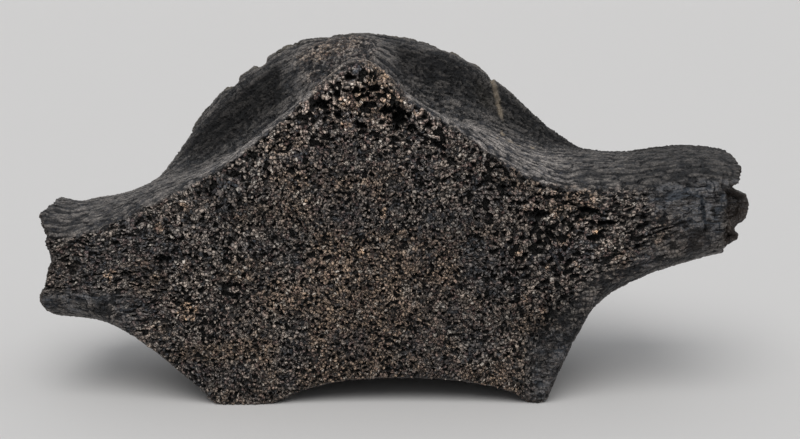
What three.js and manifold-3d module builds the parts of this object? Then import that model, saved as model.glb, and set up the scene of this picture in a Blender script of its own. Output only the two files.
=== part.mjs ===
// Vertebra of a small baleen whale: a worn lumbar bone lying keel up.
//
// Millimetres, +Z up. The broken, spongy front face looks along -Y, the end
// plate looks along +Y, and the transverse processes point along -X and +X.
// The bone rests on the two broken roots of its neural arch and on the lower
// edge of its end plate, all on z = 0. It is one bone, modelled whole and then
// parted by thin cuts where an anatomist names its parts.

import * as THREE from 'three';
import { mergeVertices } from 'three/addons/utils/BufferGeometryUtils.js';
import Module from 'manifold-3d';

const wasm = await Module();
wasm.setup();

// ---------------------------------------------------------------- dimensions

const LENGTH = 70;            // worn front face to end plate, along Y
const CELL = 4.75;            // facet size
const CUT = 0.3;              // gap between neighbouring parts

// centrum at its waist: two flanks meeting at the ventral keel
const FLANK = { left: 39.8, right: 43.0 };        // slope of each flank, degrees
const KEEL = { x: -7.7, z: 112.6, round: 9, drift: 12, width: 16 };
const LOWER = { left: { slope: 44.6, x: -54.5 }, right: { slope: 69, x: 51.5 } };
const VALLEY = 4.5;           // hollowing of the flanks between waist and rim
const LIP = { out: 0.5, y: 6, end: 20 };          // slight swelling of the flanks behind the worn face

// end plate: a super-ellipse, a little rolled
const RIM = { x: -8.5, z: 55.7, a: 68.2, b: 56.7, power: 1.86, roll: 4, edge: 5 };
const DISH = { a: 50, b: 40, depth: 3.2 };        // shallow hollow of the end plate

// transverse processes: crest and lower edge [distance outwards, height]
const PROCESS = {
  y: 25, half: 27, power: 2.6, blend: 32.5, rootGrow: 10,
  clear: 16, clearFrom: 54,   // the roots die away before the end plate
  left: {
    side: -1, tip: 107.5,
    crest: [[40, 58], [70, 64.9], [82, 63.8], [95, 61.4], [112, 60.5]],
    under: [[53, -3], [62, 4.5], [74, 15], [84, 21], [94, 24.5], [110, 26]],
    // lobes of the broken end: [height, half width, length]
    lobes: [[60, 7, 3], [45.5, 6, -5], [31, 7, 4]],
    ripple: [1.2, 6.5, 9],
  },
  right: {
    side: 1, tip: 114,
    crest: [[40, 74.5], [60, 75.8], [80, 77.6], [100, 79], [118, 75.5]],
    under: [[53, -3], [56.5, 10], [61, 21], [68, 31], [80, 38.5], [98, 44.8], [116, 49]],
    lobes: [[76, 7, 1.5], [67, 4, -2.5], [54, 5, -3.5]],
    ripple: [1.2, 7, 8],
  },
};

// neural canal: a shallow groove between the roots of the arch
const CANAL = { x: 6, z: -12, a: 47, b: 20, power: 2.4, fadeFrom: 49, fadeTo: 74, round: 7 };

// where the bone is parted
const PART = { plate: 62, left: -58, right: 60, root: 12.5, rootLeft: -27, rootRight: 37, rootBack: 54 };

// ------------------------------------------------------------- shape functions

const rad = THREE.MathUtils.degToRad;
const lerp = THREE.MathUtils.lerp;
const smooth = (a, b, v) => THREE.MathUtils.smoothstep(v, a, b);
const bump = (v, centre, half) => Math.exp(-(((v - centre) / half) ** 2));

// rounded minimum and maximum: a fillet where two surfaces join or cross
function joined(a, b, r) {
  const h = Math.max(r - Math.abs(a - b), 0) / r;
  return Math.min(a, b) - h * h * r * 0.25;
}
const crossed = (a, b, r) => -joined(-a, -b, r);

// smooth curve through a few stations, straight beyond its ends
function through(v, pts) {
  const n = pts.length;
  const slope = (i) => {
    const lo = pts[Math.max(i - 1, 0)];
    const hi = pts[Math.min(i + 1, n - 1)];
    return (hi[1] - lo[1]) / (hi[0] - lo[0]);
  };
  if (v <= pts[0][0]) return pts[0][1] + (v - pts[0][0]) * slope(0);
  if (v >= pts[n - 1][0]) return pts[n - 1][1] + (v - pts[n - 1][0]) * slope(n - 1);
  let i = 0;
  while (v > pts[i + 1][0]) i++;
  const h = pts[i + 1][0] - pts[i][0];
  const t = (v - pts[i][0]) / h;
  const t2 = t * t;
  const t3 = t2 * t;
  return (2 * t3 - 3 * t2 + 1) * pts[i][1] + (t3 - 2 * t2 + t) * h * slope(i)
    + (-2 * t3 + 3 * t2) * pts[i + 1][1] + (t3 - t2) * h * slope(i + 1);
}

// super-ellipse distance measure: 0 on the outline, negative inside
const oval = (u, w, a, b, power) =>
  ((Math.abs(u) / a) ** power + (Math.abs(w) / b) ** power) ** (1 / power) - 1;

function centrum(x, y, z) {
  const dx = x - KEEL.x;
  const dz = z - KEEL.z;
  let waist = crossed(
    -dx * Math.sin(rad(FLANK.left)) + dz * Math.cos(rad(FLANK.left)),
    dx * Math.sin(rad(FLANK.right)) + dz * Math.cos(rad(FLANK.right)), KEEL.round);
  const ll = LOWER.left;
  const lr = LOWER.right;
  waist = crossed(waist, -(x - ll.x) * Math.sin(rad(ll.slope)) - z * Math.cos(rad(ll.slope)), 10);
  waist = crossed(waist, (x - lr.x) * Math.sin(rad(lr.slope)) - z * Math.cos(rad(lr.slope)), 10);

  const c = Math.cos(rad(RIM.roll));
  const s = Math.sin(rad(RIM.roll));
  const u = (x - RIM.x) * c + (z - RIM.z) * s;
  const w = -(x - RIM.x) * s + (z - RIM.z) * c;
  const rim = oval(u, w, RIM.a, RIM.b, RIM.power) * 0.5 * (RIM.a + RIM.b);

  const along = y / LENGTH;
  const keel = bump(x, KEEL.x - KEEL.drift * along, KEEL.width) * smooth(40, 80, z);
  const hollow = VALLEY * smooth(0.05, 0.5, along) * (1 - smooth(0.5, 0.95, along)) * (1 - 0.7 * keel);
  const lip = LIP.out * smooth(-1, LIP.y, y) * (1 - smooth(LIP.y, LIP.end, y)) * smooth(50, 66, z) * (1 - keel);
  const body = lerp(waist + hollow - lip, rim, smooth(0.4, 0.94, along));
  return crossed(body, y - LENGTH, RIM.edge);
}

function transverse(p, x, y, z) {
  const t = p.side * x;
  const top = through(t, p.crest);
  const bot = through(t, p.under);
  const mid = 0.5 * (top + bot);
  const tall = 0.5 * (top - bot);
  const root = 1 - smooth(44, 82, t);
  const deep = PROCESS.half - 1.5 * smooth(70, 110, t) + PROCESS.rootGrow * root;
  const yc = PROCESS.y + PROCESS.rootGrow * root;
  let g = oval(y - yc, z - mid, deep, tall, PROCESS.power) * Math.min(tall, deep);
  let tip = p.tip + p.ripple[0] * Math.sin(y / p.ripple[1] + z / p.ripple[2]);
  for (const [height, half, length] of p.lobes) tip += length * bump(z, height, half);
  g = crossed(g, t - tip, 5);
  g = crossed(g, 34 - t, 6) + PROCESS.clear * smooth(PROCESS.clearFrom, LENGTH, y);
  // a wide fillet above, a tight one below
  const blend = lerp(9, PROCESS.blend * (1 - 0.5 * smooth(40, 110, t)), smooth(-16, 4, z - mid));
  return { g, blend };
}

// the whole bone: negative inside, zero on the surface
function bone(x, y, z) {
  let f = centrum(x, y, z);
  for (const p of [PROCESS.left, PROCESS.right]) {
    const { g, blend } = transverse(p, x, y, z);
    f = joined(f, g, blend);
  }
  const groove = oval(x - CANAL.x, z - CANAL.z, CANAL.a, CANAL.b, CANAL.power) * CANAL.b;
  f = crossed(f, -groove - 40 * smooth(CANAL.fadeFrom, CANAL.fadeTo, y), CANAL.round);
  const worn = 0.6 * Math.sin(x / 23 + 1) + 0.5 * Math.sin(z / 17);
  f = crossed(f, worn - y, 4);
  const dish = oval(x - RIM.x, z - RIM.z, DISH.a, DISH.b, 2);
  const back = LENGTH - DISH.depth * (1 - smooth(-0.75, 0.12, dish));
  f = crossed(f, y - back, 5);
  return crossed(f, -8 - z, 3);
}

// --------------------------------------------------------------- faceted bone

// One vertex in every cell that the surface passes through, moved onto the
// surface, and one quad round every cell edge that it crosses.
function facet(f, lo, hi, cell) {
  const n = lo.map((v, i) => Math.ceil((hi[i] - v) / cell) + 1);
  const at = (i, j, k) => (i * n[1] + j) * n[2] + k;
  const value = new Float64Array(n[0] * n[1] * n[2]);
  const pos = (i, d) => lo[d] + i * cell;
  for (let i = 0; i < n[0]; i++)
    for (let j = 0; j < n[1]; j++)
      for (let k = 0; k < n[2]; k++) value[at(i, j, k)] = f(pos(i, 0), pos(j, 1), pos(k, 2));

  const vertexOf = new Int32Array(value.length).fill(-1);
  const points = [];
  for (let i = 0; i < n[0] - 1; i++)
    for (let j = 0; j < n[1] - 1; j++)
      for (let k = 0; k < n[2] - 1; k++) {
        let count = 0;
        const sum = new THREE.Vector3();
        for (let a = 0; a < 8; a++)
          for (let d = 0; d < 3; d++) {
            const o = [a & 1, (a >> 1) & 1, (a >> 2) & 1];
            if (o[d]) continue;
            const e = o.slice();
            e[d] = 1;
            const fa = value[at(i + o[0], j + o[1], k + o[2])];
            const fb = value[at(i + e[0], j + e[1], k + e[2])];
            if ((fa < 0) === (fb < 0)) continue;
            const p = new THREE.Vector3(i + o[0], j + o[1], k + o[2]);
            p.setComponent(d, p.getComponent(d) + fa / (fa - fb));
            sum.add(p);
            count++;
          }
        if (!count) continue;
        const v = sum.divideScalar(count).multiplyScalar(cell).add(new THREE.Vector3(...lo));
        for (let pass = 0; pass < 4; pass++) {
          const h = 0.05;
          const here = f(v.x, v.y, v.z);
          const g = new THREE.Vector3(
            f(v.x + h, v.y, v.z) - f(v.x - h, v.y, v.z),
            f(v.x, v.y + h, v.z) - f(v.x, v.y - h, v.z),
            f(v.x, v.y, v.z + h) - f(v.x, v.y, v.z - h)).divideScalar(2 * h);
          const go = THREE.MathUtils.clamp(here / Math.max(g.lengthSq(), 0.05), -0.2 * cell, 0.2 * cell);
          v.addScaledVector(g, -go);
        }
        vertexOf[at(i, j, k)] = points.length / 3;
        points.push(v.x, v.y, v.z);
      }

  const index = [];
  const corner = (q) => new THREE.Vector3(points[3 * q], points[3 * q + 1], points[3 * q + 2]);
  for (let d = 0; d < 3; d++) {
    const e1 = (d + 1) % 3;
    const e2 = (d + 2) % 3;
    for (let i = 1; i < n[0] - 1; i++)
      for (let j = 1; j < n[1] - 1; j++)
        for (let k = 1; k < n[2] - 1; k++) {
          const c = [i, j, k];
          const next = c.slice();
          next[d]++;
          const fa = value[at(...c)];
          const fb = value[at(...next)];
          if ((fa < 0) === (fb < 0)) continue;
          const cellAt = (a, b) => {
            const q = c.slice();
            q[e1] -= a;
            q[e2] -= b;
            return vertexOf[at(...q)];
          };
          let quad = [cellAt(1, 1), cellAt(0, 1), cellAt(0, 0), cellAt(1, 0)];
          if (fa >= 0) quad = quad.reverse();
          const [p, q, r, s] = quad;
          if (corner(p).distanceTo(corner(r)) <= corner(q).distanceTo(corner(s))) index.push(p, q, r, p, r, s);
          else index.push(q, r, s, q, s, p);
        }
  }
  const geometry = new THREE.BufferGeometry();
  geometry.setAttribute('position', new THREE.BufferAttribute(new Float32Array(points), 3));
  geometry.setIndex(index);
  return geometry;
}

// ------------------------------------------------------------ joins and cuts

function solid(geometry) {
  const g = geometry.clone();
  for (const name of ['normal', 'uv']) g.deleteAttribute(name);
  const m = mergeVertices(g, 1e-4);
  return new wasm.Manifold(new wasm.Mesh({
    numProp: 3,
    vertProperties: new Float32Array(m.attributes.position.array),
    triVerts: new Uint32Array(m.index.array),
  }));
}

const FAR = 400;
function block({ x = [-FAR, FAR], y = [-FAR, FAR], z = [-FAR, FAR] }) {
  const g = new THREE.BoxGeometry(x[1] - x[0], y[1] - y[0], z[1] - z[0]);
  g.translate((x[0] + x[1]) / 2, (y[0] + y[1]) / 2, (z[0] + z[1]) / 2);
  return solid(g);
}

const whole = solid(facet(bone, [-122, -8.3, -14.2], [126, 80, 122], CELL))
  .intersect(block({ z: [0, FAR] }));

const G = CUT / 2;
const plate = whole.intersect(block({ y: [PART.plate + G, FAR] }));
let rest = whole.intersect(block({ y: [-FAR, PART.plate - G] }));

function take(region, gapRegion) {
  const piece = rest.intersect(block(region));
  rest = rest.subtract(block(gapRegion));
  return piece;
}
const rootL = take(
  { x: [-FAR, PART.rootLeft], y: [-FAR, PART.rootBack], z: [-FAR, PART.root] },
  { x: [-FAR, PART.rootLeft + CUT], y: [-FAR, PART.rootBack + CUT], z: [-FAR, PART.root + CUT] });
const rootR = take(
  { x: [PART.rootRight, FAR], y: [-FAR, PART.rootBack], z: [-FAR, PART.root] },
  { x: [PART.rootRight - CUT, FAR], y: [-FAR, PART.rootBack + CUT], z: [-FAR, PART.root + CUT] });
const processL = take({ x: [-FAR, PART.left] }, { x: [-FAR, PART.left + CUT] });
const processR = take({ x: [PART.right, FAR] }, { x: [PART.right - CUT, FAR] });

// -------------------------------------------------------------------- the part

function toGeometry(piece) {
  const mesh = piece.getMesh();
  const g = new THREE.BufferGeometry();
  g.setAttribute('position', new THREE.BufferAttribute(new Float32Array(mesh.vertProperties), 3));
  g.setIndex(new THREE.BufferAttribute(new Uint32Array(mesh.triVerts), 1));
  g.computeVertexNormals();
  return g;
}

const spongy = { color: 0x3a3531, roughness: 0.62, metalness: 0 };
const cortex = { color: 0x25262a, roughness: 0.5, metalness: 0 };

const vertebra = new THREE.Group();
for (const [name, piece, look] of [
  ['centrum', rest, spongy],
  ['end_plate', plate, cortex],
  ['transverse_process_left', processL, cortex],
  ['transverse_process_right', processR, cortex],
  ['arch_root_left', rootL, spongy],
  ['arch_root_right', rootR, spongy],
]) {
  const mesh = new THREE.Mesh(toGeometry(piece), new THREE.MeshStandardMaterial(look));
  mesh.name = name;
  vertebra.add(mesh);
}

// origin: bottom centre of the whole bone's box
const box = new THREE.Box3().setFromObject(vertebra);
const middle = box.getCenter(new THREE.Vector3());
vertebra.position.set(-middle.x, -middle.y, 0);

export default vertebra;
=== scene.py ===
import math

import bpy
import numpy as np
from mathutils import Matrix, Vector
from mathutils.geometry import tessellate_polygon


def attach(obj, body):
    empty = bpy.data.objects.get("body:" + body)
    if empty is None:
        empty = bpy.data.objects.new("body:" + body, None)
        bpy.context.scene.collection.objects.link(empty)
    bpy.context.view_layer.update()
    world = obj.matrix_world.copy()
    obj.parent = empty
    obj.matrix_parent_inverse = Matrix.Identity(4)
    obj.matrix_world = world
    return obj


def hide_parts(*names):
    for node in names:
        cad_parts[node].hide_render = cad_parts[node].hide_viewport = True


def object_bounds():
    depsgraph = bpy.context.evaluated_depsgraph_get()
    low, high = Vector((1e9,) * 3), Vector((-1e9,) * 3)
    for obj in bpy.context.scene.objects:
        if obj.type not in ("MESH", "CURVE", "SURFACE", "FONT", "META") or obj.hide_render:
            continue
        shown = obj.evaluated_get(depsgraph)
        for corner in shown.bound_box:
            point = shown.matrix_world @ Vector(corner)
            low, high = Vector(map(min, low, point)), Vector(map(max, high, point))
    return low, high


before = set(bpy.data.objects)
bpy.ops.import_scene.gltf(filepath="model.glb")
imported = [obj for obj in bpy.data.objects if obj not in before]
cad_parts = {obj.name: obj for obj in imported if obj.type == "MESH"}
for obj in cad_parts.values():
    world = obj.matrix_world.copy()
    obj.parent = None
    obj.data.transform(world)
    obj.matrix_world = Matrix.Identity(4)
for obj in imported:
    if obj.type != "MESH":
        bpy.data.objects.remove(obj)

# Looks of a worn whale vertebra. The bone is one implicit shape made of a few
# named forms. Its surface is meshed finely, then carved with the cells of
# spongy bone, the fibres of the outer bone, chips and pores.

cad_box = [list(map(float, c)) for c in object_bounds()]

MM = 0.001
# bone frame (front face at y 0, millimetres) to row frame
SHIFT = np.array([-1.3840, -34.3430, 0.0])

# ------------------------------------------------------------------ the shape

LENGTH = 70.0
FLANK_L, FLANK_R = 39.8, 43.0
KEEL = dict(x=-7.7, z=112.6, round=9.0, drift=12.0, width=16.0)
LOW_L, LOW_R = (44.6, -54.5), (69.0, 51.5)
VALLEY = 4.5
LIP = dict(out=0.5, y=6.0, end=20.0)
RIM = dict(x=-8.5, z=55.7, a=68.2, b=56.7, power=1.86, roll=4.0, edge=5.0)
DISH = dict(a=50.0, b=40.0, depth=3.2)
PROC = dict(y=25.0, half=27.0, power=2.6, blend=32.5, grow=10.0, clear=16.0, clear_from=54.0)
LEFT = dict(
    side=-1, tip=107.9,
    crest=((40, 58), (70, 64.9), (78, 64.3), (86, 62.8), (94, 61.4), (103, 60.0), (110, 61.6)),
    under=((53, -3), (62, 4.5), (74, 14.7), (84, 20.1), (94, 23.7), (110, 25.6)),
    lobes=((63.2, 4.8, 3.6), (54.5, 1.5, -1.2), (46.5, 3.8, -2.5), (33.5, 4.5, 2.7)),
    ripple=(0.5, 6.5, 9),
)
RIGHT = dict(
    side=1, tip=111.2,
    crest=((40, 74.6), (60, 76.2), (80, 76.9), (100, 78.8), (118, 76.5)),
    under=((53, -3), (56.5, 8.5), (61, 18.5), (68, 28.4), (80, 36.6), (98, 43.4), (116, 48)),
    lobes=((77.0, 5.0, 2.3), (64.3, 4.8, 2.4), (70.2, 1.5, -3.6), (57.0, 1.5, -2.4), (49.6, 3, -3.4)),
    ripple=(0.3, 7, 8),
)
CANAL = dict(x=6.0, z=-12.0, a=47.0, b=20.0, power=2.4, fade=(49.0, 74.0), round=7.0)

rad = math.radians


def step(a, b, v):
    t = np.clip((v - a) / (b - a), 0.0, 1.0)
    return t * t * (3.0 - 2.0 * t)


def mix(a, b, t):
    return a + (b - a) * t


def bump(v, c, h):
    return np.exp(-((v - c) / h) ** 2)


def joined(a, b, r):
    h = np.maximum(r - np.abs(a - b), 0.0) / r
    return np.minimum(a, b) - h * h * r * 0.25


def crossed(a, b, r):
    return -joined(-a, -b, r)


def through(v, pts):
    n = len(pts)

    def slope(i):
        lo, hi = pts[max(i - 1, 0)], pts[min(i + 1, n - 1)]
        return (hi[1] - lo[1]) / (hi[0] - lo[0])

    out = np.where(
        v < pts[0][0], pts[0][1] + (v - pts[0][0]) * slope(0),
        pts[-1][1] + (v - pts[-1][0]) * slope(n - 1))
    for i in range(n - 1):
        x0, y0 = pts[i]
        x1, y1 = pts[i + 1]
        h = x1 - x0
        t = (v - x0) / h
        t2, t3 = t * t, t * t * t
        s = (2 * t3 - 3 * t2 + 1) * y0 + (t3 - 2 * t2 + t) * h * slope(i) \
            + (-2 * t3 + 3 * t2) * y1 + (t3 - t2) * h * slope(i + 1)
        out = np.where((v >= x0) & (v <= x1), s, out)
    return out


def oval(u, w, a, b, power):
    return ((np.abs(u) / a) ** power + (np.abs(w) / b) ** power) ** (1.0 / power) - 1.0


def rim_uw(x, z):
    c, s = math.cos(rad(RIM["roll"])), math.sin(rad(RIM["roll"]))
    return (x - RIM["x"]) * c + (z - RIM["z"]) * s, -(x - RIM["x"]) * s + (z - RIM["z"]) * c


def bone(x, y, z):
    """negative inside the bone, zero on its surface"""
    dx, dz = x - KEEL["x"], z - KEEL["z"]
    f = crossed(
        -dx * math.sin(rad(FLANK_L)) + dz * math.cos(rad(FLANK_L)),
        dx * math.sin(rad(FLANK_R)) + dz * math.cos(rad(FLANK_R)), KEEL["round"])
    f = crossed(f, -(x - LOW_L[1]) * math.sin(rad(LOW_L[0])) - z * math.cos(rad(LOW_L[0])), 10.0)
    f = crossed(f, (x - LOW_R[1]) * math.sin(rad(LOW_R[0])) - z * math.cos(rad(LOW_R[0])), 10.0)
    u, w = rim_uw(x, z)
    rim = oval(u, w, RIM["a"], RIM["b"], RIM["power"]) * 0.5 * (RIM["a"] + RIM["b"])
    along = y / LENGTH
    keel = bump(x, KEEL["x"] - KEEL["drift"] * along, KEEL["width"]) * step(40.0, 80.0, z)
    hollow = VALLEY * step(0.05, 0.5, along) * (1 - step(0.5, 0.95, along)) * (1 - 0.7 * keel)
    lip = LIP["out"] * step(-1.0, LIP["y"], y) * (1 - step(LIP["y"], LIP["end"], y)) * step(50.0, 66.0, z) * (1 - keel)
    f = mix(f + hollow - lip, rim, step(0.4, 0.94, along))
    f = crossed(f, y - LENGTH, RIM["edge"])
    for p in (LEFT, RIGHT):
        t = p["side"] * x
        top, bot = through(t, p["crest"]), through(t, p["under"])
        mid, tall = 0.5 * (top + bot), 0.5 * (top - bot)
        root = 1 - step(44.0, 82.0, t)
        deep = PROC["half"] - 1.5 * step(70.0, 110.0, t) + PROC["grow"] * root
        g = oval(y - PROC["y"] - PROC["grow"] * root, z - mid, deep, tall, PROC["power"]) * np.minimum(tall, deep)
        tip = p["tip"] + p["ripple"][0] * np.sin(y / p["ripple"][1] + z / p["ripple"][2])
        for height, half, length in p["lobes"]:
            far = 1 - 0.45 * step(12.0, 30.0, y) + 0.25 * np.sin(y / 4.0 + height) * step(10.0, 18.0, y)
            if length < 0:
                far = 1 - 0.8 * step(13.0, 30.0, y)
            stray = 0.10 * (y - 8.0) + 2.4 * np.sin(y / 7.0 + 1.7 * height) * step(9.0, 24.0, y)
            tip = tip + length * far * bump(z + stray, height, half)
        g = crossed(g, t - tip, 2.0)
        g = crossed(g, 34.0 - t, 6.0) + PROC["clear"] * step(PROC["clear_from"], LENGTH, y)
        blend = mix(9.0, PROC["blend"] * (1 - 0.5 * step(40.0, 110.0, t)), step(-16.0, 4.0, z - mid))
        f = joined(f, g, blend)
    groove = oval(x - CANAL["x"], z - CANAL["z"], CANAL["a"], CANAL["b"], CANAL["power"]) * CANAL["b"]
    f = crossed(f, -groove - 40.0 * step(CANAL["fade"][0], CANAL["fade"][1], y), CANAL["round"])
    f = crossed(f, 0.6 * np.sin(x / 23.0 + 1) + 0.5 * np.sin(z / 17.0) - y, 3.0)
    dish = oval(x - RIM["x"], z - RIM["z"], DISH["a"], DISH["b"], 2)
    f = crossed(f, y - (LENGTH - DISH["depth"] * (1 - step(-0.75, 0.12, dish))), 5.0)
    return crossed(f, -z, 1.5)


# ----------------------------------------------------------------- the surface


def facet(f, lo, hi, h):
    """one vertex per grid cell that the surface crosses, one quad per crossed edge"""
    ax = [np.arange(lo[i], hi[i] + h[i], h[i], dtype=np.float32) for i in range(3)]
    n = [len(a) for a in ax]
    F = np.empty(n, np.float32)
    Y, Z = np.meshgrid(ax[1], ax[2], indexing="ij")
    for i0 in range(0, n[0], 16):
        xs = ax[0][i0:i0 + 16]
        F[i0:i0 + 16] = f(xs[:, None, None], Y[None], Z[None])
    S = F < 0
    c = np.zeros([m - 1 for m in n], np.int8)
    for i in (0, 1):
        for j in (0, 1):
            for k in (0, 1):
                c += S[i:n[0] - 1 + i, j:n[1] - 1 + j, k:n[2] - 1 + k]
    act = (c > 0) & (c < 8)
    idx = np.full(act.shape, -1, np.int64)
    cells = np.argwhere(act)
    idx[act] = np.arange(len(cells))
    acc = np.zeros((len(cells), 3))
    cnt = np.zeros(len(cells))
    for a in [(i, j, k) for i in (0, 1) for j in (0, 1) for k in (0, 1)]:
        for d in range(3):
            if a[d]:
                continue
            b = list(a)
            b[d] = 1
            fa = F[cells[:, 0] + a[0], cells[:, 1] + a[1], cells[:, 2] + a[2]]
            fb = F[cells[:, 0] + b[0], cells[:, 1] + b[1], cells[:, 2] + b[2]]
            m = (fa < 0) != (fb < 0)
            t = fa / np.where(m, fa - fb, 1)
            pos = np.zeros((len(cells), 3)) + a
            pos[:, d] += t
            acc[m] += pos[m]
            cnt[m] += 1
    V = (cells + acc / cnt[:, None]) * np.array(h) + np.array([a[0] for a in ax])
    quads = []
    for d in range(3):
        e1, e2 = (d + 1) % 3, (d + 2) % 3
        s0 = [slice(1, n[i] - 1) for i in range(3)]
        s1 = [slice(1, n[i] - 1) for i in range(3)]
        s0[d], s1[d] = slice(0, n[d] - 1), slice(1, n[d])
        A, B = S[tuple(s0)], S[tuple(s1)]
        for flag in (True, False):
            base = np.argwhere((A == flag) & (B != flag))
            for i in range(3):
                if i != d:
                    base[:, i] += 1

            def cell(o1, o2):
                q = base.copy()
                q[:, e1] -= o1
                q[:, e2] -= o2
                return idx[q[:, 0], q[:, 1], q[:, 2]]

            q = np.stack([cell(1, 1), cell(0, 1), cell(0, 0), cell(1, 0)], 1)
            quads.append(q if flag else q[:, ::-1])
    return V, np.concatenate(quads)


def strip(m, n, K):
    """triangles between an outer edge of m segments and the inner one beside it"""
    out, i, j = [], 0, 0
    while i < m or j < n:
        if j >= n or (i < m and (i + 1) / m <= (j + 2) / K):
            out.append((i, i + 1, m + 1 + j))
            i += 1
        else:
            out.append((i, m + 2 + j, m + 1 + j))
            j += 1
    return np.array(out)


def subdivide(V, Q, K, L, dense):
    """each quad into K by K, the dense ones L by L, sharing the points along their edges"""
    n, nv = len(Q), len(V)
    E = np.concatenate([Q[:, [0, 1]], Q[:, [1, 2]], Q[:, [3, 2]], Q[:, [0, 3]]])
    S = np.sort(E, 1)
    uk, inv = np.unique(S[:, 0] * nv + S[:, 1], return_inverse=True)
    inv = inv.reshape(-1)
    a, b = uk // nv, uk % nv
    loose_side = np.zeros(len(uk), bool)
    loose_side[inv[~np.tile(dense, 4)]] = True
    seg = np.where(loose_side, K, L)
    start = nv + np.concatenate([[0], np.cumsum(seg - 1)[:-1]])
    new = [V]
    EV = np.zeros((int((seg - 1).sum()), 3))
    for m in (K, L):
        e = np.flatnonzero(seg == m)
        for i in range(1, m):
            EV[start[e] - nv + i - 1] = V[a[e]] * (1 - i / m) + V[b[e]] * (i / m)
    new.append(EV)
    total = nv + len(EV)
    side_edge = inv.reshape(4, n)
    side_flip = (E[:, 0] > E[:, 1]).reshape(4, n)
    side_seg = seg[side_edge]
    mixed = dense & (side_seg != L).any(0)

    def along(quads, k, m):
        ids = start[side_edge[k, quads]][:, None] + np.arange(m - 1)[None]
        return np.where(side_flip[k, quads][:, None], ids[:, ::-1], ids)

    def inside(quads, m):
        t = np.arange(1, m) / m
        c = [V[Q[quads, i]][:, None, None] for i in range(4)]
        s_, r_ = t[None, :, None, None], t[None, None, :, None]
        return ((c[0] * (1 - s_) + c[1] * s_) * (1 - r_) + (c[3] * (1 - s_) + c[2] * s_) * r_).reshape(-1, 3)

    quads_out, owner_out, tris_out, towner_out = [], [], [], []

    def four(G):
        return np.stack([G[:, :-1, :-1], G[:, 1:, :-1], G[:, 1:, 1:], G[:, :-1, 1:]], -1).reshape(-1, 4)

    for m, pick in ((K, np.flatnonzero(~dense)), (L, np.flatnonzero(dense & ~mixed))):
        k_ = len(pick)
        G = np.empty((k_, m + 1, m + 1), np.int64)
        G[:, 0, 0], G[:, m, 0], G[:, m, m], G[:, 0, m] = Q[pick].T
        for k, sl in enumerate([(slice(1, m), 0), (m, slice(1, m)), (slice(1, m), m), (0, slice(1, m))]):
            G[(slice(None),) + sl] = along(pick, k, m)
        G[:, 1:m, 1:m] = total + np.arange(k_ * (m - 1) ** 2).reshape(k_, m - 1, m - 1)
        new.append(inside(pick, m))
        total += k_ * (m - 1) ** 2
        quads_out.append(four(G))
        owner_out.append(np.repeat(pick, m * m))
    pick = np.flatnonzero(mixed)
    k_ = len(pick)
    G = total + np.arange(k_ * (L - 1) ** 2).reshape(k_, L - 1, L - 1)
    new.append(inside(pick, L))
    quads_out.append(four(G))
    owner_out.append(np.repeat(pick, (L - 2) ** 2))
    inner = [G[:, :, 0], G[:, -1, :], G[:, :, -1], G[:, 0, :]]
    ends_of = [(0, 1), (1, 2), (3, 2), (0, 3)]
    for k in range(4):
        for m in (K, L):
            w = np.flatnonzero(side_seg[k, pick] == m)
            if not len(w):
                continue
            p = pick[w]
            c0, c1 = ends_of[k]
            row = np.concatenate([Q[p, c0][:, None], along(p, k, m), Q[p, c1][:, None], inner[k][w]], 1)
            t = strip(m, L - 2, L)
            if k >= 2:
                t = t[:, ::-1]
            tris_out.append(row[:, t].reshape(-1, 3))
            towner_out.append(np.repeat(p, len(t)))
    return (np.concatenate(new), np.concatenate(quads_out), np.concatenate(owner_out),
            np.concatenate(tris_out), np.concatenate(towner_out))


def gradient(P, h=0.12):
    g = np.empty_like(P)
    for d in range(3):
        e = np.zeros(3)
        e[d] = h
        A, B = P + e, P - e
        g[:, d] = (bone(A[:, 0], A[:, 1], A[:, 2]) - bone(B[:, 0], B[:, 1], B[:, 2])) / (2 * h)
    return g


def settle(P, passes=2, reach=0.8):
    """moves points onto the surface and gives the outward normals there"""
    for _ in range(passes):
        g = gradient(P)
        f = bone(P[:, 0], P[:, 1], P[:, 2])
        go = np.clip(f / np.maximum((g * g).sum(1), 0.1), -reach, reach)
        P = P - g * go[:, None]
    g = gradient(P, 0.35)
    return P, g / np.maximum(np.linalg.norm(g, axis=1), 1e-9)[:, None]


# ------------------------------------------------------------------- patterns


def hashed(i, j, k, seed):
    h = (i.astype(np.uint32) * np.uint32(73856093)) ^ (j.astype(np.uint32) * np.uint32(19349663)) \
        ^ (k.astype(np.uint32) * np.uint32(83492791)) ^ np.uint32((seed * 2654435761) & 0xFFFFFFFF)
    h ^= h >> np.uint32(15)
    h *= np.uint32(0x85EBCA6B)
    h ^= h >> np.uint32(13)
    h *= np.uint32(0xC2B2AE35)
    h ^= h >> np.uint32(16)
    return h


def unit(h):
    return (h & np.uint32(0xFFFFFF)).astype(np.float32) / np.float32(0xFFFFFF)


def noise(P, seed):
    """smooth value noise, -1 to 1"""
    b = np.floor(P).astype(np.int64)
    t = (P - b).astype(np.float32)
    t = t * t * t * (t * (t * 6 - 15) + 10)
    out = np.zeros(len(P), np.float32)
    for i in (0, 1):
        wx = t[:, 0] if i else 1 - t[:, 0]
        for j in (0, 1):
            wy = t[:, 1] if j else 1 - t[:, 1]
            for k in (0, 1):
                wz = t[:, 2] if k else 1 - t[:, 2]
                out += wx * wy * wz * unit(hashed(b[:, 0] + i, b[:, 1] + j, b[:, 2] + k, seed))
    return out * 2 - 1


def cloud(P, seed, octaves=3, gain=0.5):
    out, amp, tot = 0, 1.0, 0.0
    for o in range(octaves):
        out = out + amp * noise(P * (2.03 ** o) + 17.3 * o, seed + o)
        tot += amp
        amp *= gain
    return out / tot


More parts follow.
